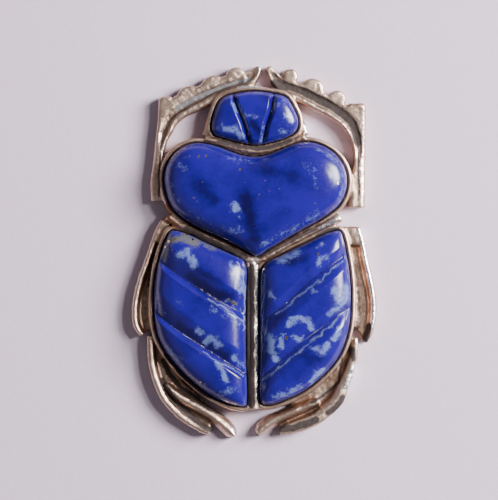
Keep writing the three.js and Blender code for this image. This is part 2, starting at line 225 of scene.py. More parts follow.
# Square elbow plates and the wedges beside the head, as corners
LEFT_ELBOW = (
    (171.5, 97.2), (161.6, 97.2), (159.2, 99.2), (158.6, 104), (157.4, 134), (165, 128), (178, 110),
)
RIGHT_ELBOW = (
    (345.5, 106), (350, 104), (362.6, 103.4), (365.2, 106), (365.2, 140), (358, 136), (345, 114),
)
LEFT_CHEEK = ((212, 112), (206.5, 121), (203, 136), (212, 139), (216, 126))
RIGHT_CHEEK = ((296, 109), (300.5, 115), (308.6, 134), (302, 138.5), (294, 126))
# Closed tops of the middle legs, as corners
LEFT_SHOULDER_PLATE = ((161, 219.5), (169.5, 219), (171, 228), (163, 243), (153, 243))
RIGHT_SHOULDER_PLATE = ((342, 226.7), (356, 226.6), (360.5, 229), (364, 246), (350, 246))

# Tarnish, with painted shade on dark facets and in the gaps beside the bars, cool grey wear, and polish
# under painted highlights on the silver: radius, strength and a path in the plan view
TARNISH_AND_PAINTED_SHADE = (
    (1.2, 0.75, (
        (243, 83), (224, 89.7), (211, 95.7), (198, 103.5), (186, 109.5), (176, 115), (169, 121.5),
        (163.4, 133.8), (160.8, 150), (159.8, 170), (159, 197),
    )),
    (5.2, 0.95, (
        (275, 84), (295, 88.7), (309, 95), (324, 102.3), (333, 108), (343, 114.7), (351, 122.6),
        (355, 131), (357.5, 142),
    )),
    (1.2, 0.8, ((357.5, 145), (358.2, 165), (358.3, 200))),
    (3.0, 0.3, ((147.5, 284), (146, 300), (145.5, 315), (147.5, 328))),
    (2.2, 0.5, ((154, 255), (150, 272), (148, 286))), (3.0, 0.9, ((369, 325), (367, 333), (364.5, 341))),
    (2.6, 0.5, ((354, 262), (357, 280), (359, 300), (360, 320), (357, 332))),
    (3.4, 0.95, ((163, 380), (171, 394), (180, 405), (192, 416), (203, 425), (212, 430))),
    (2.6, 0.95, ((164, 360), (170, 374), (180, 387), (193, 396), (208, 407), (227, 415))),
    (4.5, 0.8, ((343, 397), (336, 406), (328, 412))),
    (4.5, 0.9, ((316, 419), (304, 424), (292, 427), (283, 428))), (4.5, 0.75, ((352, 349), (353, 359))),
    (1.6, 0.9, ((342, 357.5), (340.5, 368.7), (338.4, 381.3), (331.4, 389), (321.6, 396), (311, 402))),
    (2.0, 1.0, ((166, 354), (184, 376.5), (203, 392.5), (224, 402), (243, 406))),
    (2.2, 1.0, ((318, 236), (327, 231.5), (337, 228.5))),
    (2.6, 0.95, ((219, 142), (232, 145.5), (244, 148), (256, 149.5), (268, 148), (280, 145), (291, 141))),
    (1.6, 0.95, ((248, 268), (247.8, 330), (248, 400))), (1.4, 0.95, ((259, 268), (259, 330), (259, 400))),
    (3.6, 1.0, ((251.3, 266), (251.2, 330), (251.4, 404))),
    (3.0, 0.95, ((186, 229), (204, 238), (224, 247), (246, 257))),
    (1.6, 0.8, ((268, 254), (296, 239), (316, 229))),
    (1.8, 0.5, ((207, 146), (190, 149), (174, 160), (166, 175))), (3.0, 0.6, ((271, 72), (275, 77))),
)
COOL_WEAR = (
    (3.6, 0.9, ((250, 80), (238, 83), (224, 86.5), (206, 94), (191, 101), (177, 109))),
    (2.4, 1.0, ((190, 393), (198, 398))), (4.0, 0.5, ((306, 424), (292, 427))),
)
ORANGE_FILM = ((6.0, 0.8, ((168, 206), (170, 222), (176, 226))), (3.5, 0.5, ((351, 247), (353, 262))))
# Polish with painted highlights: bright silver painted on the ridges and facets that face the lights
POLISH_AND_HIGHLIGHT = (
    (2.2, 1.0, ((359.5, 230), (364.5, 255), (368.5, 276), (372, 296), (373, 310), (371.8, 325))),
    (3.0, 1.0, ((353.5, 366), (350.5, 377), (345.5, 388))),
    (1.3, 0.55, ((362.3, 108), (362.3, 130), (361.5, 160), (361.8, 200))),
    (2.6, 0.9, ((231, 427), (236.5, 433))), (1.6, 0.9, ((238, 88.5), (249, 87.3), (262, 87.3))),
    (2.0, 0.9, ((305, 120), (307, 133))), (2.2, 0.9, ((320, 229), (335, 221), (341, 217))),
    (2.4, 0.9, ((255, 258), (256, 268))), (1.3, 1.0, ((256.4, 272), (256.4, 330), (256.8, 400))),
    (1.6, 0.7, ((259.5, 67.5), (259.8, 73))), (1.8, 0.7, ((355.5, 340), (357.5, 344))),
)

# Carved grooves in the plan view, each running past the stone's edge
GROOVES = {
    "head_stone": (
        ((231, 86), (236, 105), (244, 125), (251, 152)),
        ((275, 86), (271, 112), (266.5, 126), (261, 152)),
    ),
    "pronotum_stone": (),
    "left_wing_stone": (
        ((150, 252), (175, 272), (209, 294), (256, 321)),
        ((147, 304), (176, 328), (216, 354), (257, 381)),
    ),
    "right_wing_stone": (
        ((356, 246), (311, 280), (286, 303), (251, 330)),
        ((359, 300), (330, 320), (290, 351), (250, 388)),
    ),
}
# How far a groove's slopes reach on the head side and on the tail side, in millimetres
GROOVE_REACH = {
    "head_stone": (0.5, 0.5), "left_wing_stone": (2.1, 0.7), "right_wing_stone": (1.1, 1.5),
}

# Pale clouds in the stones, several of them painted highlights on the sides of the domes that face the
# lights: radius, strength and a path in the plan view
CLOUDS_AND_HIGHLIGHTS = (
    (5.5, 0.9, ((235, 206), (236, 212))), (5, 0.55, ((224, 227), (231, 231), (242, 231))),
    (3.5, 0.45, ((228, 158), (240, 161), (252, 162))), (5, 0.5, ((341, 170), (344, 185), (338, 200))),
    (5, 0.45, ((318, 152), (331, 157), (339, 166))), (5, 0.5, ((278, 236), (296, 228), (318, 214))),
    (4, 0.5, ((262, 246), (272, 240))), (5, 0.4, ((170, 175), (171, 192), (178, 206))),
    (5, 0.35, ((190, 213), (206, 224), (220, 232))), (4, 0.4, ((178, 165), (186, 170))),
    (5, 0.4, ((303, 163), (312, 172), (316, 186))), (4.5, 0.9, ((180, 255), (188, 252))),
    (4, 0.95, ((190, 258), (196, 262), (193, 267))), (3.5, 0.8, ((232, 264), (239, 275), (242, 292))),
    (3, 0.5, ((225, 301), (236, 306), (243, 312))), (4, 0.55, ((212, 308), (226, 314), (240, 324))),
    (3.5, 0.9, ((198, 329), (201, 332))), (4.5, 1.0, ((206, 340), (213, 337), (218, 343))),
    (4, 0.7, ((168, 345), (174, 354), (182, 364))), (4, 0.95, ((217, 362), (223, 369), (226, 379))),
    (3.5, 0.8, ((234, 356), (243, 366))), (3, 0.5, ((160, 292), (158, 305), (164, 315))),
    (4, 0.4, ((196, 382), (206, 388), (220, 393))), (5, 0.6, ((222, 392), (236, 388))),
    (3, 0.35, ((176, 300), (184, 304))), (5, 0.85, ((279, 260), (289, 255), (297, 252))),
    (3.5, 0.7, ((270, 292), (274, 299))), (4, 0.6, ((309, 288), (316, 292))),
    (5, 0.95, ((345, 286), (346, 298), (340, 303))), (5, 0.85, ((333, 290), (337, 298))),
    (4.5, 0.9, ((288, 322), (297, 317), (306, 320), (311, 327))), (4, 0.9, ((295, 337), (301, 339))),
    (5, 1.0, ((270, 336), (271, 350), (275, 358))), (4, 0.9, ((281, 336), (280, 345))),
    (4.5, 0.85, ((329, 313), (336, 307))), (4.5, 0.95, ((313, 347), (321, 350), (327, 345))),
    (4, 0.8, ((333, 338), (338, 330))), (4.5, 0.9, ((310, 381), (316, 374), (322, 370))),
    (5, 0.75, ((276, 395), (288, 392), (300, 386))), (3, 0.6, ((317, 247), (323, 244))),
    (5, 0.8, ((318, 263), (323, 257))), (3.5, 0.75, ((233, 105), (237, 113))),
    (4.5, 0.9, ((226, 130), (236, 131), (241, 138))), (4.5, 0.85, ((287, 117), (292, 121))),
    (3, 0.55, ((243, 116), (257, 118))), (3.5, 0.5, ((278, 107), (284, 103))),
    (3, 0.6, ((264, 127), (262, 141))), (3, 0.5, ((223, 124), (219, 130))),
    (3.5, 0.55, ((280, 130), (285, 134))),
)
# Worn pale lines where a tool ran along a groove, which also paint the light on the groove's lit slope, and
# painted reflections along the bevelled edges
SCRATCHED_AND_LIT = (
    (2.3, 0.5, ((345, 258), (318, 281), (297, 297), (275, 314))),
    (2.3, 0.55, ((347, 309), (330, 325), (305, 345), (283, 364), (262, 380))),
    (1.2, 0.6, ((209, 299), (226, 309), (245, 322))), (1.2, 0.6, ((203, 351), (222, 362), (245, 376))),
    (1.4, 0.7, ((237, 262), (243, 275), (244.5, 300), (244.5, 330))),
    (1.3, 0.6, ((263, 280), (262, 310), (262, 350))), (1.2, 0.5, ((236, 100), (240, 112), (247, 130))),
)
# Grey mineral in the left wing
GREY_MATRIX = (
    (6.5, 1.0, ((172, 241), (184, 238), (197, 242))), (4.5, 0.9, ((166, 250), (165, 258))),
    (3.5, 0.7, ((206, 245), (216, 249))), (3.6, 0.8, ((229, 299), (236, 303))),
    (4, 0.5, ((192, 380), (200, 384))),
)
# Darker zones of the blue, partly painted shade on the slopes above the left wing's grooves
NAVY_AND_PAINTED_SHADE = (
    (7, 0.9, ((246, 200), (250, 220), (256, 240))), (7, 0.6, ((200, 186), (214, 200))),
    (8, 0.6, ((270, 172), (290, 178))), (6, 0.8, ((190, 276), (212, 292), (230, 298))),
    (5, 0.8, ((180, 324), (200, 340), (226, 356))), (2.2, 1.0, ((273, 351), (275, 353))),
    (5, 0.6, ((200, 270), (220, 282))), (6, 0.6, ((296, 352), (318, 358))),
    (5, 0.7, ((284, 312), (276, 322))), (4, 0.9, ((252, 122), (258, 132))),
    (4, 0.5, ((262, 98), (270, 102))), (5, 0.7, ((290, 262), (306, 258))),
)
# Gold-coloured specks in the plan view: x, y and radius
SPECKS = (
    (240, 170, 1.9), (204, 183, 1.2), (195, 198, 1.1), (198, 202, 0.9), (190, 157, 1.0), (199, 158, 1.1),
    (207, 158, 1.1), (188, 170, 0.8), (337, 183, 1.8), (278, 189, 0.8), (268, 191, 0.7), (259, 195, 0.8),
    (265, 182, 0.7), (314, 204, 1.0), (200, 354, 1.0), (234, 303, 1.6), (240, 298, 1.2), (287, 337, 1.5),
    (317, 254, 1.1), (237, 148, 0.8), (170, 242, 1.5), (176, 238, 1.7), (187, 236, 1.3), (174, 250, 1.0),
    (193, 239, 1.4), (165, 247, 1.0), (284, 230, 0.9), (292, 228, 1.2), (201, 380, 1.2), (205, 383, 1.0),
    (330, 338, 0.9), (284, 113, 0.8),
)

# What each kind of mark is painted with
SILVER_STROKES = {"stain_and_shade": TARNISH_AND_PAINTED_SHADE, "cool": COOL_WEAR, "orange": ORANGE_FILM, "polish_and_highlight": POLISH_AND_HIGHLIGHT}
STONE_STROKES = {"cloud_and_highlight": CLOUDS_AND_HIGHLIGHTS, "worn": SCRATCHED_AND_LIT, "grey": GREY_MATRIX, "navy_and_shade": NAVY_AND_PAINTED_SHADE}

# Noise patterns: scale, detail, roughness and distortion
SILVER_PATTERNS = {"broad": (420, 4, 0.6, 0.5), "fine": (2600, 7, 0.7, 0), "hair": (9000, 5, 0.7, 0)}
STONE_PATTERNS = {"broad": (300, 4, 0.55, 0.6), "middle": (1500, 5, 0.65, 0.4), "fine": (6000, 6, 0.7, 0)}
PAPER_PATTERN = (900, 6, 0.7, 0)

# Marks: attribute, patterns that tear its edge with their weights, where it starts and where it is full
SILVER_MARKS = {
    "film": ("recess", {"broad": 1.2, "fine": 0.7}, -0.15, 0.55),
    "cool": ("cool", {"fine": 0.9, "hair": 0.4}, 0.35, 0.75),
    "orange": ("orange", {"broad": 0.5, "fine": 0.5}, 0.25, 0.8),
    # Polish strokes with painted highlights
    "polish_and_highlight": ("polish_and_highlight", {"fine": 0.6}, 0.25, 0.7),
    # stain: tarnish and painted shade on dark facets and gaps; sheltered: tarnish and painted shade where
    # the surface is sheltered
    "stain_and_shade": ("stain_and_shade", {"broad": 0.5, "fine": 0.7}, 0.14, 0.60),
    "sheltered": ("recess", {"fine": 0.5, "hair": 0.2}, 0.60, 1.15),
}
STONE_MARKS = {
    # Darker blue, partly painted shade
    "navy_and_shade": ("navy_and_shade", {"broad": 1.6, "middle": 0.7}, -0.45, 1.05),
    # Pale clouds, partly painted highlights
    "cloud_and_highlight": ("cloud_and_highlight", {"middle": 1.8, "fine": 1.4}, 0.32, 1.0),
    # Dust and painted sheen along the edges
    "dust_and_sheen": ("dust_and_sheen", {"middle": 0.8, "fine": 0.9}, 0.35, 1.05),
    "grey": ("grey", {"middle": 1.3, "fine": 1.1}, 0.30, 0.95),
    # Worn lines, with painted light on lit groove slopes and bevelled edges
    "worn": ("worn", {"middle": 0.6, "fine": 0.9}, 0.30, 0.75),
    # Dirt and painted shade in the grooves and edge gaps
    "grime_and_shade": ("dirt_and_shade", {"middle": 0.5, "fine": 0.4}, 0.25, 0.8),
    "speck": ("speck", {"middle": 0.7, "fine": 0.6}, 0.45, 0.65),
}
MOST_CLOUD_AND_HIGHLIGHT = 0.85  # how much of the blue the pale clouds and painted highlights hide
MOST_COOL = 0.6  # how matt the cool wear is

# Colours that belong to one kind of mark
BROWN_SHARE = (0.50, 0.43, 0.38)  # the film over the bright silver
COOL_GREY = (0.15, 0.145, 0.155)
ORANGE_BROWN = (0.34, 0.16, 0.08)
# Painted highlight on the polished ridges
PAINTED_HIGHLIGHT_SILVER = (0.97, 0.93, 0.91)
# Colour of the dust and painted sheen along the stones' edges
DUST_AND_SHEEN_BLUE = (0.045, 0.05, 0.20)
# Colour of the worn lines and of the painted light on lit slopes and edges
WORN_AND_LIT_BLUE = (0.13, 0.17, 0.33)
MATRIX_GREY = (0.075, 0.075, 0.09)
# Colour of the dirt and painted shade
GRIME_AND_SHADE = (0.006, 0.005, 0.016)
PAPER_SHADE = 0.97  # darkest grain of the floor

# Surface: a pattern's range that the roughness follows, the roughness itself, and bumps in metres
ROUGH_RANGE = (0.3, 0.7)
SILVER_ROUGH = (0.30, 0.46)
STONE_ROUGH = (0.13, 0.28)
MATT_ROUGH = 0.3  # rougher where the silver is matt
POLISH_SMOOTH = 0.12  # smoother where it is polished
MATT_METAL = 0.25  # how metallic the matt silver is
PAPER_ROUGH = 0.9
LAPIS_IOR = 1.5
SILVER_BUMP = (0.00005, 0.6)  # distance and strength
STONE_BUMP = (0.00003, 0.35)
PAPER_BUMP = (0.0002, 0.2)
LIP_NOISE = {"Scale": 420.0, "Detail": 2.0}  # pattern of the lips' wobble

# Stage: lights as name, place, size, power and colour; the world by a ray's height
LIGHTS = (
    ("window", (0.38, 0.125, 0.28), 0.22, 8.8, (1.0, 0.98, 0.97)),
    ("spark", (0.27, 0.10, 0.40), 0.05, 1.1, (1.0, 0.98, 0.96)),
    ("fill", (-0.30, -0.10, 0.42), 0.50, 0.10, (0.95, 0.95, 1.0)),
)
WORLD_COLOUR = (0.86, 0.83, 0.88, 1)
WORLD_HEIGHTS = (0.60, 0.97)
WORLD_STRENGTHS = (0.27, 0.08)
FLOOR_HALF = 1.5
FLOOR_DROP = 0.00002  # metres under the flat back
SENSOR = 36.0
CLIP = (0.01, 10)


def length_of(name, description, millimetres):
    """A size that a user would change, shown as a length."""
    return FloatProperty(name=name, description=description, default=millimetres * MM, unit="LENGTH")


def colour_of(name, description, *shares):
    """A colour that a user would change."""
    return FloatVectorProperty(
        name=name, description=description, subtype="COLOR", size=3, min=0, max=1, default=shares,
    )


class BroochSizes(bpy.types.PropertyGroup):
    """Sizes and colours of the silver."""

    leg_height: length_of("Leg height", "Top of the legs above the back", 2.0)
    tooth_plate_height: length_of("Tooth plate height", "Top of the toothed plates above the back", 1.85)
    channel_floor: length_of("Channel floor", "Floor of the hollows in the middle and hind legs", 1.1)
    foot_height: length_of("Foot height", "Top of the rounded feet above the back", 2.15)
    bar_crown: length_of("Bar crown", "Top of the rounded bars between the stones", 2.74)
    grain_depth: length_of("Casting grain", "Height of the uneven cast surface", 0.035)
    lip_width: length_of("Lip half width", "Half the width of the burnished bezel lips", 0.27)
    lip_height: length_of("Lip half height", "Half the height of the burnished bezel lips", 0.22)
    lip_wobble: length_of("Lip wobble", "How far the hand-worked lips stray", 0.05)
    seed: IntProperty(name="Seed", description="Seed of the lips' hand-worked wobble", default=7)
    silver_colour: colour_of("Silver", "Colour of the worn bright silver", 0.66, 0.48, 0.385)
    # Tarnish colour, also the painted shade in the hollows and on the dark facets
    tarnish_and_shade_colour: colour_of("Tarnish", "Colour of the tarnish and painted shade in the hollows", 0.034, 0.022, 0.020)


class StoneSettings(bpy.types.PropertyGroup):
    """Carving and colours of the lapis."""

    groove_depth: length_of("Groove depth", "Depth of a carved groove", 0.78)
    deep_colour: colour_of("Deep blue", "Darkest blue of the stone", 0.003, 0.001, 0.042)
    blue_colour: colour_of("Ultramarine", "Main blue of the stone", 0.013, 0.004, 0.185)
    # Colour of the pale clouds and of the painted highlights among them
    pale_colour: colour_of("Pale clouds", "Colour of the pale clouds and painted highlights in the stone", 0.12, 0.17, 0.40)
    gold_colour: colour_of("Gold specks", "Colour of the metallic specks", 0.55, 0.43, 0.22)


class StageSettings(bpy.types.PropertyGroup):
    """Floor, lights and camera."""

    floor_colour: colour_of("Paper", "Colour of the pale floor", 0.62, 0.515, 0.635)
    camera_distance: length_of("Camera distance", "Camera above the floor", 450)


# Plan and outline helpers, in millimetres
def on_plan(points):
    """Plan points, or stations with their reaches, in millimetres in the frame."""
    values = np.array(points, float)
    values[:, 0] = (values[:, 0] - PLAN_CENTRE[0]) * ACROSS + PLAN_SHIFT[0]
    values[:, 1] = (PLAN_CENTRE[1] - values[:, 1]) * ALONG + PLAN_SHIFT[1]
    values[:, 2:] *= ACROSS
    return values


def smooth_path(knots, samples, closed=False):
    """Centripetal Catmull-Rom curve through the first two columns; the others go linearly."""
    count = len(knots)
    if closed:
        padded = np.vstack([knots[-1:], knots, knots[:2]])
        spans = count
    else:
        padded = np.vstack([2 * knots[0] - knots[1], knots, 2 * knots[-1] - knots[-2]])
        spans = count - 1
    rows = []
    for i in range(spans):
        p0, p1, p2, p3 = padded[i:i + 4, :2]
        gaps = [max(np.linalg.norm(b - a), TINY) ** 0.5 for a, b in ((p0, p1), (p1, p2), (p2, p3))]
        m1 = (p1 - p0) / gaps[0] - (p2 - p0) / (gaps[0] + gaps[1]) + (p2 - p1) / gaps[1]
        m2 = (p2 - p1) / gaps[1] - (p3 - p1) / (gaps[1] + gaps[2]) + (p3 - p2) / gaps[2]
        m1, m2 = m1 * gaps[1], m2 * gaps[1]
        for t in np.arange(samples) / samples:
            place = (
                (2 * t**3 - 3 * t**2 + 1) * p1 + (t**3 - 2 * t**2 + t) * m1
                + (3 * t**2 - 2 * t**3) * p2 + (t**3 - t**2) * m2
            )
            rest = padded[i + 1, 2:] * (1 - t) + padded[i + 2, 2:] * t
            rows.append(np.concatenate([place, rest]))
    if not closed:
        rows.append(padded[-2])
    return np.array(rows)


def run_of(points):
    """Distance travelled along a line at each of its points."""
    return np.concatenate([[0], np.cumsum(np.linalg.norm(np.diff(points, axis=0), axis=1))])


def resampled(points, run, wanted):
    """Places at wanted distances along a line."""
    return np.column_stack([np.interp(wanted, run, points[:, k]) for k in range(2)])


def spaced(points, count):
    """A closed polyline resampled at even distances."""
    loop = np.vstack([points, points[:1]])
    run = run_of(loop)
    return resampled(loop, run, np.arange(count) / count * run[-1])


def stone_outline(node, count):
    """Smooth outline of a stone from the ring of corners that its CAD node stands on."""
    corners = np.array([v.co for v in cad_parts[node].data.vertices]) / MM
    ring = corners[corners[:, 2] < corners[:, 2].min() + LEVEL][:, :2]
    ring = np.unique(ring.round(DIGITS), axis=0)
    centre = ring.mean(0)
    ring = ring[np.argsort(np.arctan2(*(ring - centre).T[::-1]))]
    return spaced(smooth_path(ring, OUTLINE_SAMPLES, closed=True), count)


def offset_outline(outline, distance):
    """A counter-clockwise outline moved outwards."""
    along = np.roll(outline, -1, axis=0) - np.roll(outline, 1, axis=0)
    along /= np.linalg.norm(along, axis=1)[:, None]
    return outline + distance * np.column_stack([along[:, 1], -along[:, 0]])


def inward_distance(points, outline):
    """Nought on the outline and growing smoothly inwards, whatever the outline's shape."""
    result = np.empty(len(points))
    ends = np.roll(outline, -1, axis=0)
    for start in range(0, len(points), BLOCK):
        block = points[start:start + BLOCK, None]
        a, b = outline[None] - block, ends[None] - block
        cross = a[..., 0] * b[..., 1] - a[..., 1] * b[..., 0]
        angle = np.arctan2(cross, (a * b).sum(-1))
        near_a, near_b = (np.maximum(np.linalg.norm(gap, axis=-1), TINY) for gap in (a, b))
        result[start:start + BLOCK] = 2 / (np.tan(angle / 2) * (1 / near_a + 1 / near_b)).sum(-1)
    return result


# Mesh helpers
def ring_faces(rings, count):
    """Faces between rings of equal length."""
    pairs = [(j, (j + 1) % count) for j in range(count)]
    return [
        (i + j, i + k, i + count + k, i + count + j)
        for i in range(0, (rings - 1) * count, count) for j, k in pairs
    ]


def loft(sections):
    """Vertices and faces of a closed solid through rings of equal length, ends as single faces."""
    rings, count = len(sections), len(sections[0])
    faces = ring_faces(rings, count)
    faces.append(tuple(range(count - 1, -1, -1)))
    faces.append(tuple(range((rings - 1) * count, rings * count)))
    return np.concatenate(sections), faces


def new_object(name, corners, faces, unit):
    """A mesh object with its faces pointing outwards."""
    mesh = bpy.data.meshes.new(name)
    mesh.from_pydata((np.asarray(corners) * unit).tolist(), [], faces)
    mesh.validate()
    work = bmesh.new()
    work.from_mesh(mesh)
    bmesh.ops.recalc_face_normals(work, faces=work.faces)
    work.to_mesh(mesh)
    work.free()
    return placed(name, mesh)


def placed(name, mesh):
    """An object that shows a mesh in the scene."""
    piece = bpy.data.objects.new(name, mesh)
    bpy.context.scene.collection.objects.link(piece)
    return piece


def settled(piece):
    """The piece's mesh with its modifiers worked in. The piece itself is taken away."""
    seen = piece.evaluated_get(bpy.context.evaluated_depsgraph_get())
    mesh = bpy.data.meshes.new_from_object(seen)
    bpy.data.objects.remove(piece, do_unlink=True)
    return mesh


def stack(levels):
    """Solid through outlines at rising heights."""
    return loft([np.column_stack([outline, np.full(len(outline), z)]) for outline, z in levels])


def soften(profile, count, passes):
    """A section's top line with even steps and rounded corners, its two ends kept."""
    run = run_of(profile)
    line = resampled(profile, run, np.linspace(0, run[-1], count))
    for _ in range(passes):
        line[1:-1] = (line[:-2] + 2 * line[1:-1] + line[2:]) / 4
    return line


def sweep(stations, side, samples, ring_at):
    """Solid that follows a spine. side is 1 where outwards is to the left of the way along."""
    path = smooth_path(on_plan(stations), samples)
    along = np.gradient(path[:, :2], axis=0)
    along /= np.linalg.norm(along, axis=1)[:, None]
    outwards = np.column_stack([-along[:, 1], along[:, 0]]) * side
    rings = []
    for place, way, gone in zip(path, outwards, run_of(path[:, :2])):
        ring = np.array(ring_at(place[2], place[3], gone), float)
        rings.append(np.column_stack([
            place[0] + way[0] * ring[:, 0], place[1] + way[1] * ring[:, 0], ring[:, 1],
        ]))
    return loft(rings)


def strip(stations, side, samples, section_at, section_points, passes):
    """Solid that stands on the back, under the top line of its section."""
    def ring_at(outer, inner, travelled):
        top = soften(np.array(section_at(outer, inner, travelled), float), section_points, passes)
        return np.vstack([[(top[0, 0], 0)], top, [(top[-1, 0], 0)]])

    return sweep(stations, side, samples, ring_at)


def add_point_attribute(mesh, name, values):
    """Stores one number for each vertex."""
    attribute = mesh.attributes.new(name, "FLOAT", "POINT")
    attribute.data.foreach_set("value", np.asarray(values, np.float32))


def stroke_share(places, strokes):
    """How strongly strokes of the plan view cover places in millimetres, from nought to one."""
    share = np.zeros(len(places))
    for radius, strength, path in strokes:
        line = on_plan(path)
        away = np.full(len(places), np.inf)
        for start, end in zip(line[:-1], line[1:]):
            span = end - start
            gone = np.clip((places - start) @ span / (span @ span), 0, 1)
            away = np.minimum(away, np.linalg.norm(places - start - gone[:, None] * span, axis=1))
        share = np.maximum(share, strength * np.exp(-(away / (radius * ACROSS)) ** 2))
    return share


def wavering(corners, scale, reach):
    """A small seeded shift of plan places, so that no stroke's edge runs true."""
    return reach * np.array([
        [noise.noise(Vector((x, y, level)) * scale) for level in WAVER_LEVELS] for x, y in corners[:, :2]
    ])


def corners_of(mesh):
    """Vertex places of a mesh in millimetres."""
    flat = np.empty(len(mesh.vertices) * 3)
    mesh.vertices.foreach_get("co", flat)
    return flat.reshape(-1, 3) / MM


# Material helpers
def new_material(name):
    """A node material; returns it with its shader and its tree."""
    material = bpy.data.materials.new(name)
    material.use_nodes = True
    tree = material.node_tree
    return material, tree.nodes["Principled BSDF"], tree


def add_node(tree, kind, **values):
    """A node with its settings and, by socket name, its inputs."""
    node = tree.nodes.new(kind)
    for key, value in values.items():
        if hasattr(node, key):
            setattr(node, key, value)
        else:
            node.inputs[key.replace("_", " ")].default_value = value
    return node


def noise_of(tree, scale, detail, roughness, distortion):
    """Noise on Object coordinates, which are metres."""
    places = add_node(tree, "ShaderNodeTexCoord")
    pattern = add_node(
        tree, "ShaderNodeTexNoise", Scale=scale, Detail=detail, Roughness=roughness, Distortion=distortion,
    )
    tree.links.new(places.outputs["Object"], pattern.inputs["Vector"])
    return pattern.outputs["Fac"]


def ranged(tree, value, low, high, to_low=0.0, to_high=1.0):
    """A value spread from one range to another and clamped."""
    node = add_node(tree, "ShaderNodeMapRange", clamp=True, interpolation_type="SMOOTHSTEP")
    tree.links.new(value, node.inputs["Value"])
    for name, number in (("From Min", low), ("From Max", high), ("To Min", to_low), ("To Max", to_high)):
        node.inputs[name].default_value = number
    return node.outputs["Result"]


def combined(tree, operation, first, second):
    """Two values, or a value and a number, through a Math node."""
    node = add_node(tree, "ShaderNodeMath", operation=operation, use_clamp=operation in ("ADD", "MULTIPLY"))
    for socket, value in zip(node.inputs, (first, second)):
        if isinstance(value, (int, float)):
            socket.default_value = value
        else:
            tree.links.new(value, socket)
    return node.outputs[0]


def mixed(tree, factor, first, second):
    """Two colours, each a socket or three numbers, mixed by a value."""
    node = add_node(tree, "ShaderNodeMix", data_type="RGBA")
    tree.links.new(factor, node.inputs["Factor"])
    for name, colour in (("A", first), ("B", second)):
        socket = next(s for s in node.inputs if s.name == name and s.type == "RGBA")
        if isinstance(colour, bpy.types.NodeSocket):
            tree.links.new(colour, socket)
        else:
            socket.default_value = (*colour, 1)
    return next(s for s in node.outputs if s.type == "RGBA")


def attribute_of(tree, name):
    """A number stored on the vertices."""
    return add_node(tree, "ShaderNodeAttribute", attribute_name=name).outputs["Fac"]


def bumped(tree, shader, height, distance, strength):
    """Links a bump, in metres, to a shader."""
    node = add_node(tree, "ShaderNodeBump", Strength=strength, Distance=distance)
    tree.links.new(height, node.inputs["Height"])
    tree.links.new(node.outputs["Normal"], shader.inputs["Normal"])


def torn(tree, patterns, name, weights, low, high):
    """A mark from its attribute, its edge broken up by patterns, each with its weight."""
    mask = attribute_of(tree, name)
    for pattern, weight in weights.items():
        step = add_node(tree, "ShaderNodeMath", operation="MULTIPLY_ADD")
        tree.links.new(patterns[pattern], step.inputs[0])
        step.inputs[1].default_value = weight
        tree.links.new(mask, step.inputs[2])
        mask = step.outputs[0]
        low, high = low + weight * MID_NOISE, high + weight * MID_NOISE
    return ranged(tree, mask, low, high)


def painted(tree, colour, layers):
    """A colour with layers over it, each a mask and a colour."""
    for mask, coat in layers:
        colour = mixed(tree, mask, colour, coat)
    return colour


def silver_material(sizes):
    """Worn silver: brown film, cool wear, polished ridges under painted highlights, and tarnish with
    painted shade where it is sheltered and along the stain strokes.
    """
    material, shader, tree = new_material("worn_silver")
    patterns = {name: noise_of(tree, *numbers) for name, numbers in SILVER_PATTERNS.items()}
    marks = {name: torn(tree, patterns, *numbers) for name, numbers in SILVER_MARKS.items()}
    # Tarnish and painted shade: the stain strokes and the sheltered hollows
    dirt_and_shade = combined(tree, "MAXIMUM", marks["stain_and_shade"], marks["sheltered"])
    brown = tuple(c * share for c, share in zip(sizes.silver_colour, BROWN_SHARE))
    colour = painted(tree, tuple(sizes.silver_colour), (
        (marks["film"], brown), (marks["cool"], COOL_GREY), (marks["orange"], ORANGE_BROWN),
        # Painted highlights on the polish strokes, then tarnish and painted shade
        (marks["polish_and_highlight"], PAINTED_HIGHLIGHT_SILVER), (dirt_and_shade, tuple(sizes.tarnish_and_shade_colour)),
    ))
    tree.links.new(colour, shader.inputs["Base Color"])
    matt = combined(tree, "MAXIMUM", dirt_and_shade, combined(tree, "MULTIPLY", marks["cool"], MOST_COOL))
    tree.links.new(ranged(tree, matt, 0, 1, 1, MATT_METAL), shader.inputs["Metallic"])
    grain = ranged(tree, patterns["fine"], *ROUGH_RANGE, *SILVER_ROUGH)
    rough = combined(tree, "ADD", grain, ranged(tree, matt, 0, 1, 0, MATT_ROUGH))
    smooth = ranged(tree, marks["polish_and_highlight"], 0, 1, 0, POLISH_SMOOTH)
    tree.links.new(combined(tree, "SUBTRACT", rough, smooth), shader.inputs["Roughness"])
    bumped(tree, shader, combined(tree, "ADD", patterns["fine"], patterns["hair"]), *SILVER_BUMP)
    return material


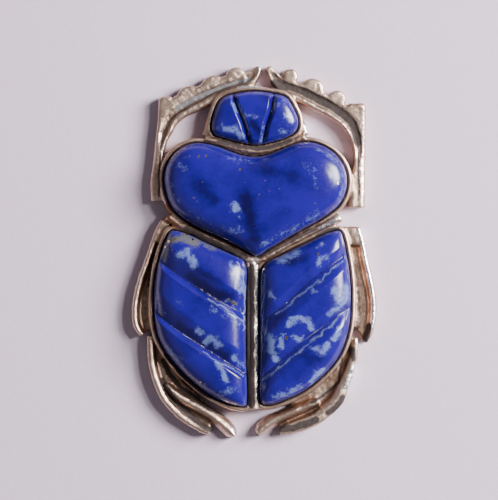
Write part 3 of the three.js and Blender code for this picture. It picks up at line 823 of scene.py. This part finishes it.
def lapis_material(stones):
    """Polished lapis: clouded ultramarine with painted shade in its dark zones, pale patches with painted
    highlights, worn grooves with painted light on their lit slopes, dirt and painted shade in the grooves
    and at the edges, dust and painted sheen along the edges, metallic specks.
    """
    material, shader, tree = new_material("lapis")
    patterns = {name: noise_of(tree, *numbers) for name, numbers in STONE_PATTERNS.items()}
    marks = {name: torn(tree, patterns, *numbers) for name, numbers in STONE_MARKS.items()}
    # Pale clouds together with the painted highlights
    cloud_and_highlight = combined(tree, "MULTIPLY", marks["cloud_and_highlight"], MOST_CLOUD_AND_HIGHLIGHT)
    colour = painted(tree, tuple(stones.blue_colour), (
        # Darker zones with painted shade, then pale clouds with painted highlights
        (marks["navy_and_shade"], tuple(stones.deep_colour)), (cloud_and_highlight, tuple(stones.pale_colour)),
        # Dust with painted sheen, grey matrix, worn lines with painted light
        (marks["dust_and_sheen"], DUST_AND_SHEEN_BLUE), (marks["grey"], MATRIX_GREY), (marks["worn"], WORN_AND_LIT_BLUE),
        # Dirt with painted shade, then the gold specks
        (marks["grime_and_shade"], GRIME_AND_SHADE), (marks["speck"], tuple(stones.gold_colour)),
    ))
    tree.links.new(colour, shader.inputs["Base Color"])
    tree.links.new(marks["speck"], shader.inputs["Metallic"])
    rough = ranged(tree, patterns["fine"], *ROUGH_RANGE, *STONE_ROUGH)
    tree.links.new(rough, shader.inputs["Roughness"])
    shader.inputs["IOR"].default_value = LAPIS_IOR
    bumped(tree, shader, combined(tree, "ADD", patterns["fine"], patterns["middle"]), *STONE_BUMP)
    return material


def floor_material(stage):
    """Soft paper with a faint grain."""
    material, shader, tree = new_material("pale_paper")
    grain = noise_of(tree, *PAPER_PATTERN)
    darker = tuple(PAPER_SHADE * c for c in stage.floor_colour)
    tree.links.new(mixed(tree, grain, darker, tuple(stage.floor_colour)), shader.inputs["Base Color"])
    shader.inputs["Roughness"].default_value = PAPER_ROUGH
    bumped(tree, shader, grain, *PAPER_BUMP)
    return material


# Silver mount, in millimetres
def groove_section(sizes, outer, inner, travelled, groove_half):
    """Half the width of a front leg's groove and the height of its floor."""
    half = min(groove_half, WIDEST_GROOVE * inner, WIDEST_GROOVE * outer)
    return half, sizes.leg_height / MM - LEG_GROOVE * np.interp(travelled, GROOVE_RUN, GROOVE_SHARE)


def front_leg(sizes, stations, side, groove_half):
    """Rounded inner ridge, groove along the spine and outer plate."""
    top, plate_top = sizes.leg_height / MM, sizes.tooth_plate_height / MM

    def section(outer, inner, travelled):
        half, floor = groove_section(sizes, outer, inner, travelled, groove_half)
        inner_round, outer_round = (min(EDGE_ROUND, WIDEST_ROUND * reach) for reach in (inner, outer))
        return (
            (-inner, top - SIDE_DROP), (-inner + inner_round, top - RIDGE_DROP),
            (-(inner + half) / 2, top + RIDGE_RISE), (-half * GROOVE_LIP, top - RIDGE_DROP),
            (-half, floor), (half, floor), (half * GROOVE_LIP, plate_top),
            (outer - outer_round, plate_top), (outer, plate_top - EDGE_ROUND),
        )

    return strip(stations, side, FRONT_SAMPLES, section, section_points=34, passes=1)


def leg_groove(sizes, stations, side, groove_half):
    """Cutter for the groove along a front leg, behind its toe."""
    high = sizes.leg_height / MM + CUT_RISE

    def ring_at(outer, inner, travelled):
        half, floor = groove_section(sizes, outer, inner, travelled, groove_half)
        mouth = half * (1 + (GROOVE_LIP - 1) * (high - floor) / LEG_GROOVE)
        return ((-half, floor), (half, floor), (mouth, high), (-mouth, high))

    return sweep(stations[2:], side, FRONT_SAMPLES, ring_at)


def hollow_leg(sizes, stations, side, rim_width, hollow_run):
    """Rounded rim round a hollow that deepens along the leg and runs in under the bezel."""
    top, deep = sizes.leg_height / MM, sizes.channel_floor / MM
    shallow = top - EDGE_ROUND

    def section(outer, inner, travelled):
        rim = min(rim_width, WIDEST_ROUND * inner)
        slope = min(rim + HOLLOW_SLOPE, RIDGE_SHOULDER * inner)
        floor = shallow + (deep - shallow) * min(travelled / hollow_run, 1)
        outer_round = min(EDGE_ROUND, WIDEST_ROUND * outer)
        return (
            (-inner, floor), (-slope, floor), (-rim, top - RIM_INNER_DROP),
            ((outer - rim) / 2, top + RIDGE_RISE), (outer - outer_round, top - RIM_OUTER_DROP),
            (outer, top - SIDE_DROP),
        )

    return strip(stations, side, LEG_SAMPLES, section, section_points=40, passes=1)


def foot(sizes, stations, side):
    """Rounded ridge that crosses the hollow of a hind leg."""
    top, floor = sizes.foot_height / MM, sizes.channel_floor / MM
    shoulder = floor + RIDGE_SHOULDER_RISE * (top - floor)

    def section(outer, inner, travelled):
        return (
            (-inner, floor), (-RIDGE_SHOULDER * inner, shoulder), (0, top),
            (RIDGE_SHOULDER * outer, shoulder), (outer, floor),
        )

    return strip(stations, side, LEG_SAMPLES, section, section_points=20, passes=2)


def seam_bar(sizes, stations):
    """Rounded bar between two bezels."""
    crown = sizes.bar_crown / MM
    arch = np.linspace(-math.pi / 2, math.pi / 2, ARCH_POINTS)

    def section(outer, inner, travelled):
        return [(outer * math.sin(turn), crown - BAR_ARCH * (1 - math.cos(turn))) for turn in arch]

    return strip(stations, 1, LEG_SAMPLES, section, section_points=16, passes=0)


def plate(outline, top):
    """Flat piece with a rounded top edge."""
    edge = [(offset_outline(outline, inset), top + height) for inset, height in PLATE_EDGE]
    return stack([(outline, 0), *edge])


def cornered(points):
    """A counter-clockwise outline with straight sides."""
    outline = on_plan(points)
    after = np.roll(outline, -1, axis=0)
    area = (outline[:, 0] * after[:, 1] - outline[:, 1] * after[:, 0]).sum()
    return spaced(outline if area > 0 else outline[::-1], PLATE_POINTS)


def tooth(place, top):
    """Round tooth or toe tip."""
    x, y, radius = on_plan([place])[0]
    turn = np.linspace(0, 2 * math.pi, TOOTH_POINTS, endpoint=False)
    circle = radius * np.column_stack([np.cos(turn), np.sin(turn)])
    edge = [(share * circle + (x, y), top + height) for share, height in TOOTH_EDGE]
    return stack([(circle + (x, y), 0), *edge])


def bezel_block(outline):
    """Block of one bezel, before its pocket is cut."""
    reach = SEAT_CLEARANCE + BEZEL_WALL
    edge = [(offset_outline(outline, reach + inset), RIM_TOP + height) for inset, height in BEZEL_EDGE]
    return stack([(offset_outline(outline, reach), 0), *edge])


def pocket(outline):
    """Space that a stone drops into."""
    mouth = offset_outline(outline, SEAT_CLEARANCE)
    return stack([(mouth, BACK_THICKNESS), (mouth, RIM_TOP + CUT_RISE)])


def cast(solids, cuts):
    """Union of the solids with the cuts taken out, its joints welded and its edges worn."""
    base, *others = [new_object("mount_block", *solid, unit=1) for solid in solids]
    cutters = [new_object("mount_cut", *cut, unit=1) for cut in cuts]
    for other, operation in [(o, "UNION") for o in others] + [(o, "DIFFERENCE") for o in cutters]:
        step = base.modifiers.new(operation, "BOOLEAN")
        step.operation, step.solver, step.object = operation, "MANIFOLD", other
    weld = base.modifiers.new("Weld", "REMESH")
    weld.mode, weld.voxel_size = "VOXEL", VOXEL
    wear = base.modifiers.new("Wear", "SMOOTH")
    wear.factor, wear.iterations = WEAR_FACTOR, WEAR_ROUNDS
    mesh = settled(base)
    for spare in [*others, *cutters]:
        bpy.data.objects.remove(spare, do_unlink=True)
    return mesh


def roughen(mesh, depth):
    """Uneven cast surface on a mesh in millimetres. Its back stays flat."""
    corners, normals = np.empty(3 * len(mesh.vertices)), np.empty(3 * len(mesh.vertices))
    mesh.vertices.foreach_get("co", corners)
    mesh.vertices.foreach_get("normal", normals)
    corners, normals = corners.reshape(-1, 3), normals.reshape(-1, 3)
    swell = np.array([
        noise.noise(place * SWELL_SCALE) + noise.fractal(place * GRAIN_SCALE, *GRAIN)
        for place in map(Vector, corners)
    ])
    corners += depth * swell[:, None] * normals
    corners[corners[:, 2] < VOXEL, 2] = 0
    mesh.vertices.foreach_set("co", corners.ravel())
    mesh.update()


def thinned(mesh, triangles):
    """The same surface with fewer triangles where it is flat."""
    mesh.calc_loop_triangles()
    piece = placed("mount_fine", mesh)
    step = piece.modifiers.new("Thin", "DECIMATE")
    step.ratio = min(1, triangles / len(mesh.loop_triangles))
    return settled(piece)


def shelter(mesh, others):
    """How sheltered each vertex is, from nought to one, by short rays around its normal."""
    corners, triangles = [], []
    for source in [mesh, *others]:
        source.calc_loop_triangles()
        first = len(corners)
        corners += [v.co for v in source.vertices]
        triangles += [[first + i for i in t.vertices] for t in source.loop_triangles]
    tree = BVHTree.FromPolygons(corners, triangles, all_triangles=True)
    golden = math.pi * (3 - math.sqrt(5))
    bundle = []
    for i in range(RAYS):
        up = 1 - (i + 0.5) / RAYS
        flat = math.sqrt(1 - up * up)
        bundle.append(Vector((flat * math.cos(golden * i), flat * math.sin(golden * i), up)))
    values, reach = np.zeros(len(mesh.vertices)), RAY_REACH * MM
    for i, vertex in enumerate(mesh.vertices):
        if vertex.co.z <= 0:
            continue
        turn = Vector((0, 0, 1)).rotation_difference(vertex.normal)
        start = vertex.co + vertex.normal * RAY_START * MM
        for ray in bundle:
            distance = tree.ray_cast(start, turn @ ray, reach)[3]
            if distance is not None:
                values[i] += (1 - distance / reach) / RAYS
    return values


def mark_silver(mesh, strength):
    """Stores the shelter, the stains with painted shade, the wear and the polish with painted highlights
    that the silver material reads.
    """
    stones = [bpy.data.objects[f"{node}_lapis"].data for node in STONES]
    add_point_attribute(mesh, "recess", np.clip(shelter(mesh, stones) * strength, 0, 1))
    corners = corners_of(mesh)
    places = corners[:, :2] + wavering(corners, *SILVER_WAVER)
    for name, strokes in SILVER_STROKES.items():
        add_point_attribute(mesh, name, stroke_share(places, strokes))


def finish_piece(piece, node, material):
    """Gives a piece its material and its place in the frame."""
    piece.data.materials.clear()
    piece.data.materials.append(material)
    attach(piece, "root")
    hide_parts(node)


class BROOCH_OT_stones(bpy.types.Operator):
    """Carve the four domed lapis stones"""

    bl_idname = "brooch.stones"
    bl_label = "Lapis Stones"

    def execute(self, context):
        settings = context.scene.brooch_stones
        material = lapis_material(settings)
        for node in STONES:
            piece = carve_stone(node, settings)
            finish_piece(piece, node, material)
        return {"FINISHED"}


def carved(node, plan, depth_in, depth):
    """How deep a stone's grooves are at places of its plan, and how much dirt and painted shade lie along
    them.
    """
    fall, dirt_and_shade = np.zeros(len(plan)), np.zeros(len(plan))
    fade = np.clip(depth_in / GROOVE_FADE, SHALLOWEST, 1)
    for path in GROOVES[node]:
        line = smooth_path(on_plan(path), GROOVE_SAMPLES)
        gap = plan[:, None] - line[None]
        away = np.linalg.norm(gap, axis=-1)
        near = away.argmin(1)
        along = np.gradient(line, axis=0)[near]
        offset = gap[np.arange(len(plan)), near]
        left = along[:, 0] * offset[:, 1] - along[:, 1] * offset[:, 0]
        distance = away.min(1)
        reach = np.where(left * along[:, 0] > 0, *GROOVE_REACH[node])
        fall += depth * np.clip(1 - distance / reach, 0, 1) ** GROOVE_CURVE * fade
        # Dirt and painted shade along each groove's bottom
        dirt_and_shade = np.maximum(dirt_and_shade, np.exp(-(distance / GROOVE_GRIME_AND_SHADE[1]) ** 2))
    return fall, dirt_and_shade


def carve_stone(node, settings):
    """One stone: upright girdle, smooth dome and its grooves, with the marks its material reads."""
    around, rings = STONE_POINTS, STONE_RINGS
    outline = stone_outline(node, around)
    low, high = (corner.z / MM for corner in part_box(node))
    girdle = low + GIRDLE_RISE
    centre = outline.mean(0)
    shares = 1 - np.cos(np.linspace(0, 1, rings) * math.pi / 2)
    plan = np.concatenate([outline + (centre - outline) * share for share in shares[:-1]])
    depth_in = np.maximum(inward_distance(plan, outline), 0)
    depth_in[:around] = 0
    deepest = inward_distance(centre[None], outline)[0]
    rise = np.clip(depth_in / deepest, 0, 1)
    fall, dirt_and_shade = carved(node, plan, depth_in, settings.groove_depth / MM)
    heights = girdle + (high - girdle) * np.sqrt(1 - (1 - rise) ** 2) - fall
    heights[:around] = girdle
    corners = np.vstack([
        np.column_stack([outline, np.full(around, low)]), np.column_stack([plan, heights]),
        [[*centre, heights[-around:].mean()]],
    ])
    faces = ring_faces(rings, around)
    last = (rings - 1) * around
    faces += [(last + j, last + (j + 1) % around, len(corners) - 1) for j in range(around)]
    faces.append(tuple(range(around - 1, -1, -1)))
    piece = new_object(f"{node}_lapis", corners, faces, unit=MM)
    edge = np.concatenate([np.zeros(around), depth_in, [deepest]])
    mark_stone(piece.data, edge, np.concatenate([np.zeros(around), dirt_and_shade, [0]]))
    piece.data.shade_smooth()
    piece.data.set_sharp_from_angle(angle=STONE_SHARP)
    return piece


def mark_stone(mesh, edge, groove_grime_and_shade):
    """Stores the clouds with painted highlights, specks, wear with painted light, dust with painted sheen
    and dirt with painted shade that the lapis material reads.
    """
    corners = corners_of(mesh)
    places = corners[:, :2] + wavering(corners, *STONE_WAVER)
    for name, strokes in STONE_STROKES.items():
        add_point_attribute(mesh, name, stroke_share(places, strokes))
    speck = np.zeros(len(corners))
    for x, y, radius in on_plan(SPECKS):
        away = np.linalg.norm(places - (x, y), axis=1)
        speck = np.maximum(speck, np.clip(SPECK_SPREAD - away / radius, 0, 1))
    # A pale band of dust and painted sheen along the edges, and dirt and painted shade in the edge gap
    dust_and_sheen, edge_grime_and_shade = (share * np.exp(-edge / reach) for share, reach in (EDGE_DUST_AND_SHEEN, EDGE_GRIME_AND_SHADE))
    add_point_attribute(mesh, "speck", speck)
    add_point_attribute(mesh, "dust_and_sheen", dust_and_sheen)
    # Dirt and painted shade at the edges and along the grooves
    add_point_attribute(mesh, "dirt_and_shade", np.maximum(edge_grime_and_shade, GROOVE_GRIME_AND_SHADE[0] * groove_grime_and_shade))


class BROOCH_OT_mount(bpy.types.Operator):
    """Cast the silver mount: back plate, bezels, bars, cheeks and legs"""

    bl_idname = "brooch.mount"
    bl_label = "Silver Mount"

    def execute(self, context):
        sizes = context.scene.brooch_sizes
        outlines = [stone_outline(node, BEZEL_POINTS) for node in STONES]
        top, plate_top = sizes.leg_height / MM, sizes.tooth_plate_height / MM
        solids = [
            *map(bezel_block, outlines),
            *(front_leg(sizes, *leg) for leg in FRONT_LEGS),
            *(tooth(place, plate_top) for place in LEFT_TEETH + RIGHT_TEETH),
            *(plate(cornered(corners), plate_top) for corners in (LEFT_ELBOW, RIGHT_ELBOW)),
            *(plate(cornered(corners), top) for corners in (LEFT_SHOULDER_PLATE, RIGHT_SHOULDER_PLATE)),
            *(plate(cornered(corners), RIM_TOP - CHEEK_DROP) for corners in (LEFT_CHEEK, RIGHT_CHEEK)),
            *(hollow_leg(sizes, *leg) for leg in HOLLOW_LEGS),
            *(foot(sizes, *leg) for leg in FEET),
            *(seam_bar(sizes, stations) for stations in BARS),
        ]
        cuts = [leg_groove(sizes, *leg) for leg in FRONT_LEGS] + [pocket(outline) for outline in outlines]
        mesh = cast(solids, cuts)
        roughen(mesh, sizes.grain_depth / MM)
        mesh = thinned(mesh, MOUNT_TRIANGLES)
        mesh.transform(Matrix.Scale(MM, 4))
        piece = placed("silver_mount_cast", mesh)
        mesh.name = piece.name
        mark_silver(mesh, MOUNT_SHELTER)
        mesh.shade_smooth()
        finish_piece(piece, "silver_mount", silver_material(sizes))
        return {"FINISHED"}


def lip_tree(material):
    """Geometry nodes that sweep a burnished lip along every loop of edges."""
    tree = bpy.data.node_groups.new("bezel_lip_sweep", "GeometryNodeTree")
    face = tree.interface
    face.new_socket("Geometry", in_out="INPUT", socket_type="NodeSocketGeometry")
    for name in ("Half Width", "Half Height", "Wobble"):
        face.new_socket(name, in_out="INPUT", socket_type="NodeSocketFloat")
    face.new_socket("Seed", in_out="INPUT", socket_type="NodeSocketInt")
    face.new_socket("Geometry", in_out="OUTPUT", socket_type="NodeSocketGeometry")
    entry, leave = tree.nodes.new("NodeGroupInput"), tree.nodes.new("NodeGroupOutput")

    def fed(kind, socket, source, **values):
        """A node with one input linked."""
        node = add_node(tree, kind, **values)
        tree.links.new(source, node.inputs[socket])
        return node

    curve = fed("GeometryNodeMeshToCurve", "Mesh", entry.outputs["Geometry"])
    upright = fed("GeometryNodeSetCurveNormal", "Curve", curve.outputs["Curve"], mode="Z_UP")
    place = tree.nodes.new("GeometryNodeInputPosition")
    at = place.outputs["Position"]
    pattern = fed("ShaderNodeTexNoise", "Vector", at, noise_dimensions="4D", **LIP_NOISE)
    tree.links.new(entry.outputs["Seed"], pattern.inputs["W"])
    centred = fed("ShaderNodeVectorMath", 0, pattern.outputs["Color"], operation="SUBTRACT")
    centred.inputs[1].default_value = (MID_NOISE,) * 3
    stray = fed("ShaderNodeVectorMath", 0, centred.outputs["Vector"], operation="SCALE")
    tree.links.new(entry.outputs["Wobble"], stray.inputs["Scale"])
    moved = fed("GeometryNodeSetPosition", "Geometry", upright.outputs["Curve"])
    tree.links.new(stray.outputs["Vector"], moved.inputs["Offset"])
    ring = add_node(tree, "GeometryNodeCurvePrimitiveCircle", Resolution=LIP_SIDES, Radius=1.0)
    size = fed("ShaderNodeCombineXYZ", "X", entry.outputs["Half Width"], Z=1.0)
    tree.links.new(entry.outputs["Half Height"], size.inputs["Y"])
    oval = fed("GeometryNodeTransform", "Geometry", ring.outputs["Curve"])
    tree.links.new(size.outputs["Vector"], oval.inputs["Scale"])
    sweep = fed("GeometryNodeCurveToMesh", "Curve", moved.outputs["Geometry"], Fill_Caps=True)
    tree.links.new(oval.outputs["Geometry"], sweep.inputs["Profile Curve"])
    smooth = fed("GeometryNodeSetShadeSmooth", "Geometry", sweep.outputs["Mesh"])
    real = fed("GeometryNodeRealizeInstances", "Geometry", smooth.outputs["Geometry"])
    coat = fed("GeometryNodeSetMaterial", "Geometry", real.outputs["Geometry"], Material=material)
    tree.links.new(coat.outputs["Geometry"], leave.inputs["Geometry"])
    return tree


def clear_of_bars(places):
    """Which places in millimetres lie outside the rounded bars, where a lip shows."""
    free = np.full(len(places), True)
    for stations in BARS:
        line = smooth_path(on_plan(stations), BAR_SAMPLES)
        away = np.linalg.norm(places[:, None] - line[None, :, :2], axis=-1)
        free &= away.min(1) > line[away.argmin(1), 2]
    return free


class BROOCH_OT_lips(bpy.types.Operator):
    """Burnish the lips of the four bezels over the stones"""

    bl_idname = "brooch.lips"
    bl_label = "Bezel Lips"

    def execute(self, context):
        sizes = context.scene.brooch_sizes
        count = LIP_POINTS
        height = RIM_TOP - sizes.lip_height / MM - sizes.lip_wobble / MM / 2
        corners, edges = [], []
        for node in STONES:
            loop = offset_outline(stone_outline(node, count), SEAT_CLEARANCE + BEZEL_WALL / 2)
            start = len(corners)
            corners += [(x, y, height) for x, y in loop]
            free = clear_of_bars(loop)
            after = np.roll(free, -1)
            edges += [(start + i, start + (i + 1) % count) for i in range(count) if free[i] or after[i]]
        mesh = bpy.data.meshes.new("bezel_lip_paths")
        mesh.from_pydata((np.array(corners) * MM).tolist(), edges, [])
        guide = placed("bezel_lip_paths", mesh)
        material = bpy.data.materials["worn_silver"]
        tree = lip_tree(material)
        sweep = guide.modifiers.new("Lip sweep", "NODES")
        sweep.node_group = tree
        values = {
            "Half Width": sizes.lip_width, "Half Height": sizes.lip_height,
            "Wobble": sizes.lip_wobble, "Seed": sizes.seed,
        }
        for socket in tree.interface.items_tree:
            if socket.in_out == "INPUT" and socket.name in values:
                sweep[socket.identifier] = values[socket.name]
        lips = placed("bezel_lips", settled(guide))
        mark_silver(lips.data, LIP_SHELTER)
        finish_piece(lips, "silver_mount", material)
        return {"FINISHED"}


class BROOCH_OT_stage(bpy.types.Operator):
    """Set the pale floor, the soft lights and the camera"""

    bl_idname = "brooch.stage"
    bl_label = "Stage"

    def execute(self, context):
        stage = context.scene.brooch_stage
        signs = ((-1, -1), (1, -1), (1, 1), (-1, 1))
        mesh = bpy.data.meshes.new("paper_floor")
        mesh.from_pydata([(x * FLOOR_HALF, y * FLOOR_HALF, 0) for x, y in signs], [], [(0, 1, 2, 3)])
        floor = placed("paper_floor", mesh)
        floor.location.z = -FLOOR_DROP
        mesh.materials.append(floor_material(stage))
        light_world(context.scene)
        for light in LIGHTS:
            add_light(context.scene, *light)
        add_camera(context.scene, stage)
        return {"FINISHED"}


def light_world(scene):
    """Pale surroundings that darken overhead, where the camera stands."""
    world = bpy.data.worlds.new("soft_room")
    world.use_nodes = True
    tree = world.node_tree
    ground = tree.nodes["Background"]
    ground.inputs["Color"].default_value = WORLD_COLOUR
    way = add_node(tree, "ShaderNodeTexCoord")
    split = add_node(tree, "ShaderNodeSeparateXYZ")
    tree.links.new(way.outputs["Generated"], split.inputs["Vector"])
    strength = ranged(tree, split.outputs["Z"], *WORLD_HEIGHTS, *WORLD_STRENGTHS)
    tree.links.new(strength, ground.inputs["Strength"])
    scene.world = world


def add_light(scene, name, place, size, power, colour):
    """A square soft light that looks at the brooch."""
    lamp = bpy.data.lights.new(name, "AREA")
    lamp.size, lamp.energy, lamp.color = size, power, colour
    holder = bpy.data.objects.new(name, lamp)
    holder.location = place
    holder.rotation_euler = (-Vector(place)).to_track_quat("-Z", "Y").to_euler()
    scene.collection.objects.link(holder)


def add_camera(scene, stage):
    """Looks straight down, with the brooch where the photograph has it."""
    camera = bpy.data.cameras.new("overhead")
    camera.sensor_width = SENSOR
    tall = IMAGE_SIZE[1] * ALONG * MM
    camera.lens = camera.sensor_width * stage.camera_distance / tall
    camera.clip_start, camera.clip_end = CLIP
    holder = bpy.data.objects.new("overhead", camera)
    across = (IMAGE_SIZE[0] / 2 - PLAN_CENTRE[0]) * ACROSS + PLAN_SHIFT[0]
    along = (PLAN_CENTRE[1] - IMAGE_SIZE[1] / 2) * ALONG + PLAN_SHIFT[1]
    holder.location = (across * MM, along * MM, stage.camera_distance)
    scene.collection.objects.link(holder)
    scene.camera = holder


class BROOCH_PT_panel(bpy.types.Panel):
    """Lists the steps and the sizes"""

    bl_idname = "BROOCH_PT_panel"
    bl_label = "Scarab Brooch"
    bl_space_type = "VIEW_3D"
    bl_region_type = "UI"
    bl_category = "Scarab"

    def draw(self, context):
        for step in STEPS:
            self.layout.operator(step.bl_idname)
        for group in (context.scene.brooch_sizes, context.scene.brooch_stones, context.scene.brooch_stage):
            box = self.layout.box()
            for name in group.bl_rna.properties.keys():
                if name not in ("rna_type", "name"):
                    box.prop(group, name)


STEPS = (BROOCH_OT_stones, BROOCH_OT_mount, BROOCH_OT_lips, BROOCH_OT_stage)
GROUPS = {"brooch_sizes": BroochSizes, "brooch_stones": StoneSettings, "brooch_stage": StageSettings}


def register():
    """Adds the classes and the scene's settings."""
    for kind in (*GROUPS.values(), *STEPS, BROOCH_PT_panel):
        bpy.utils.register_class(kind)
    for name, kind in GROUPS.items():
        setattr(bpy.types.Scene, name, PointerProperty(type=kind))


def unregister():
    """Takes them away again."""
    for name in GROUPS:
        delattr(bpy.types.Scene, name)
    for kind in reversed((*GROUPS.values(), *STEPS, BROOCH_PT_panel)):
        bpy.utils.unregister_class(kind)


def main():
    """Builds every piece in order."""
    register()
    bpy.ops.brooch.stones()
    bpy.ops.brooch.mount()
    bpy.ops.brooch.lips()
    bpy.ops.brooch.stage()


if __name__ == "__main__":
    main()
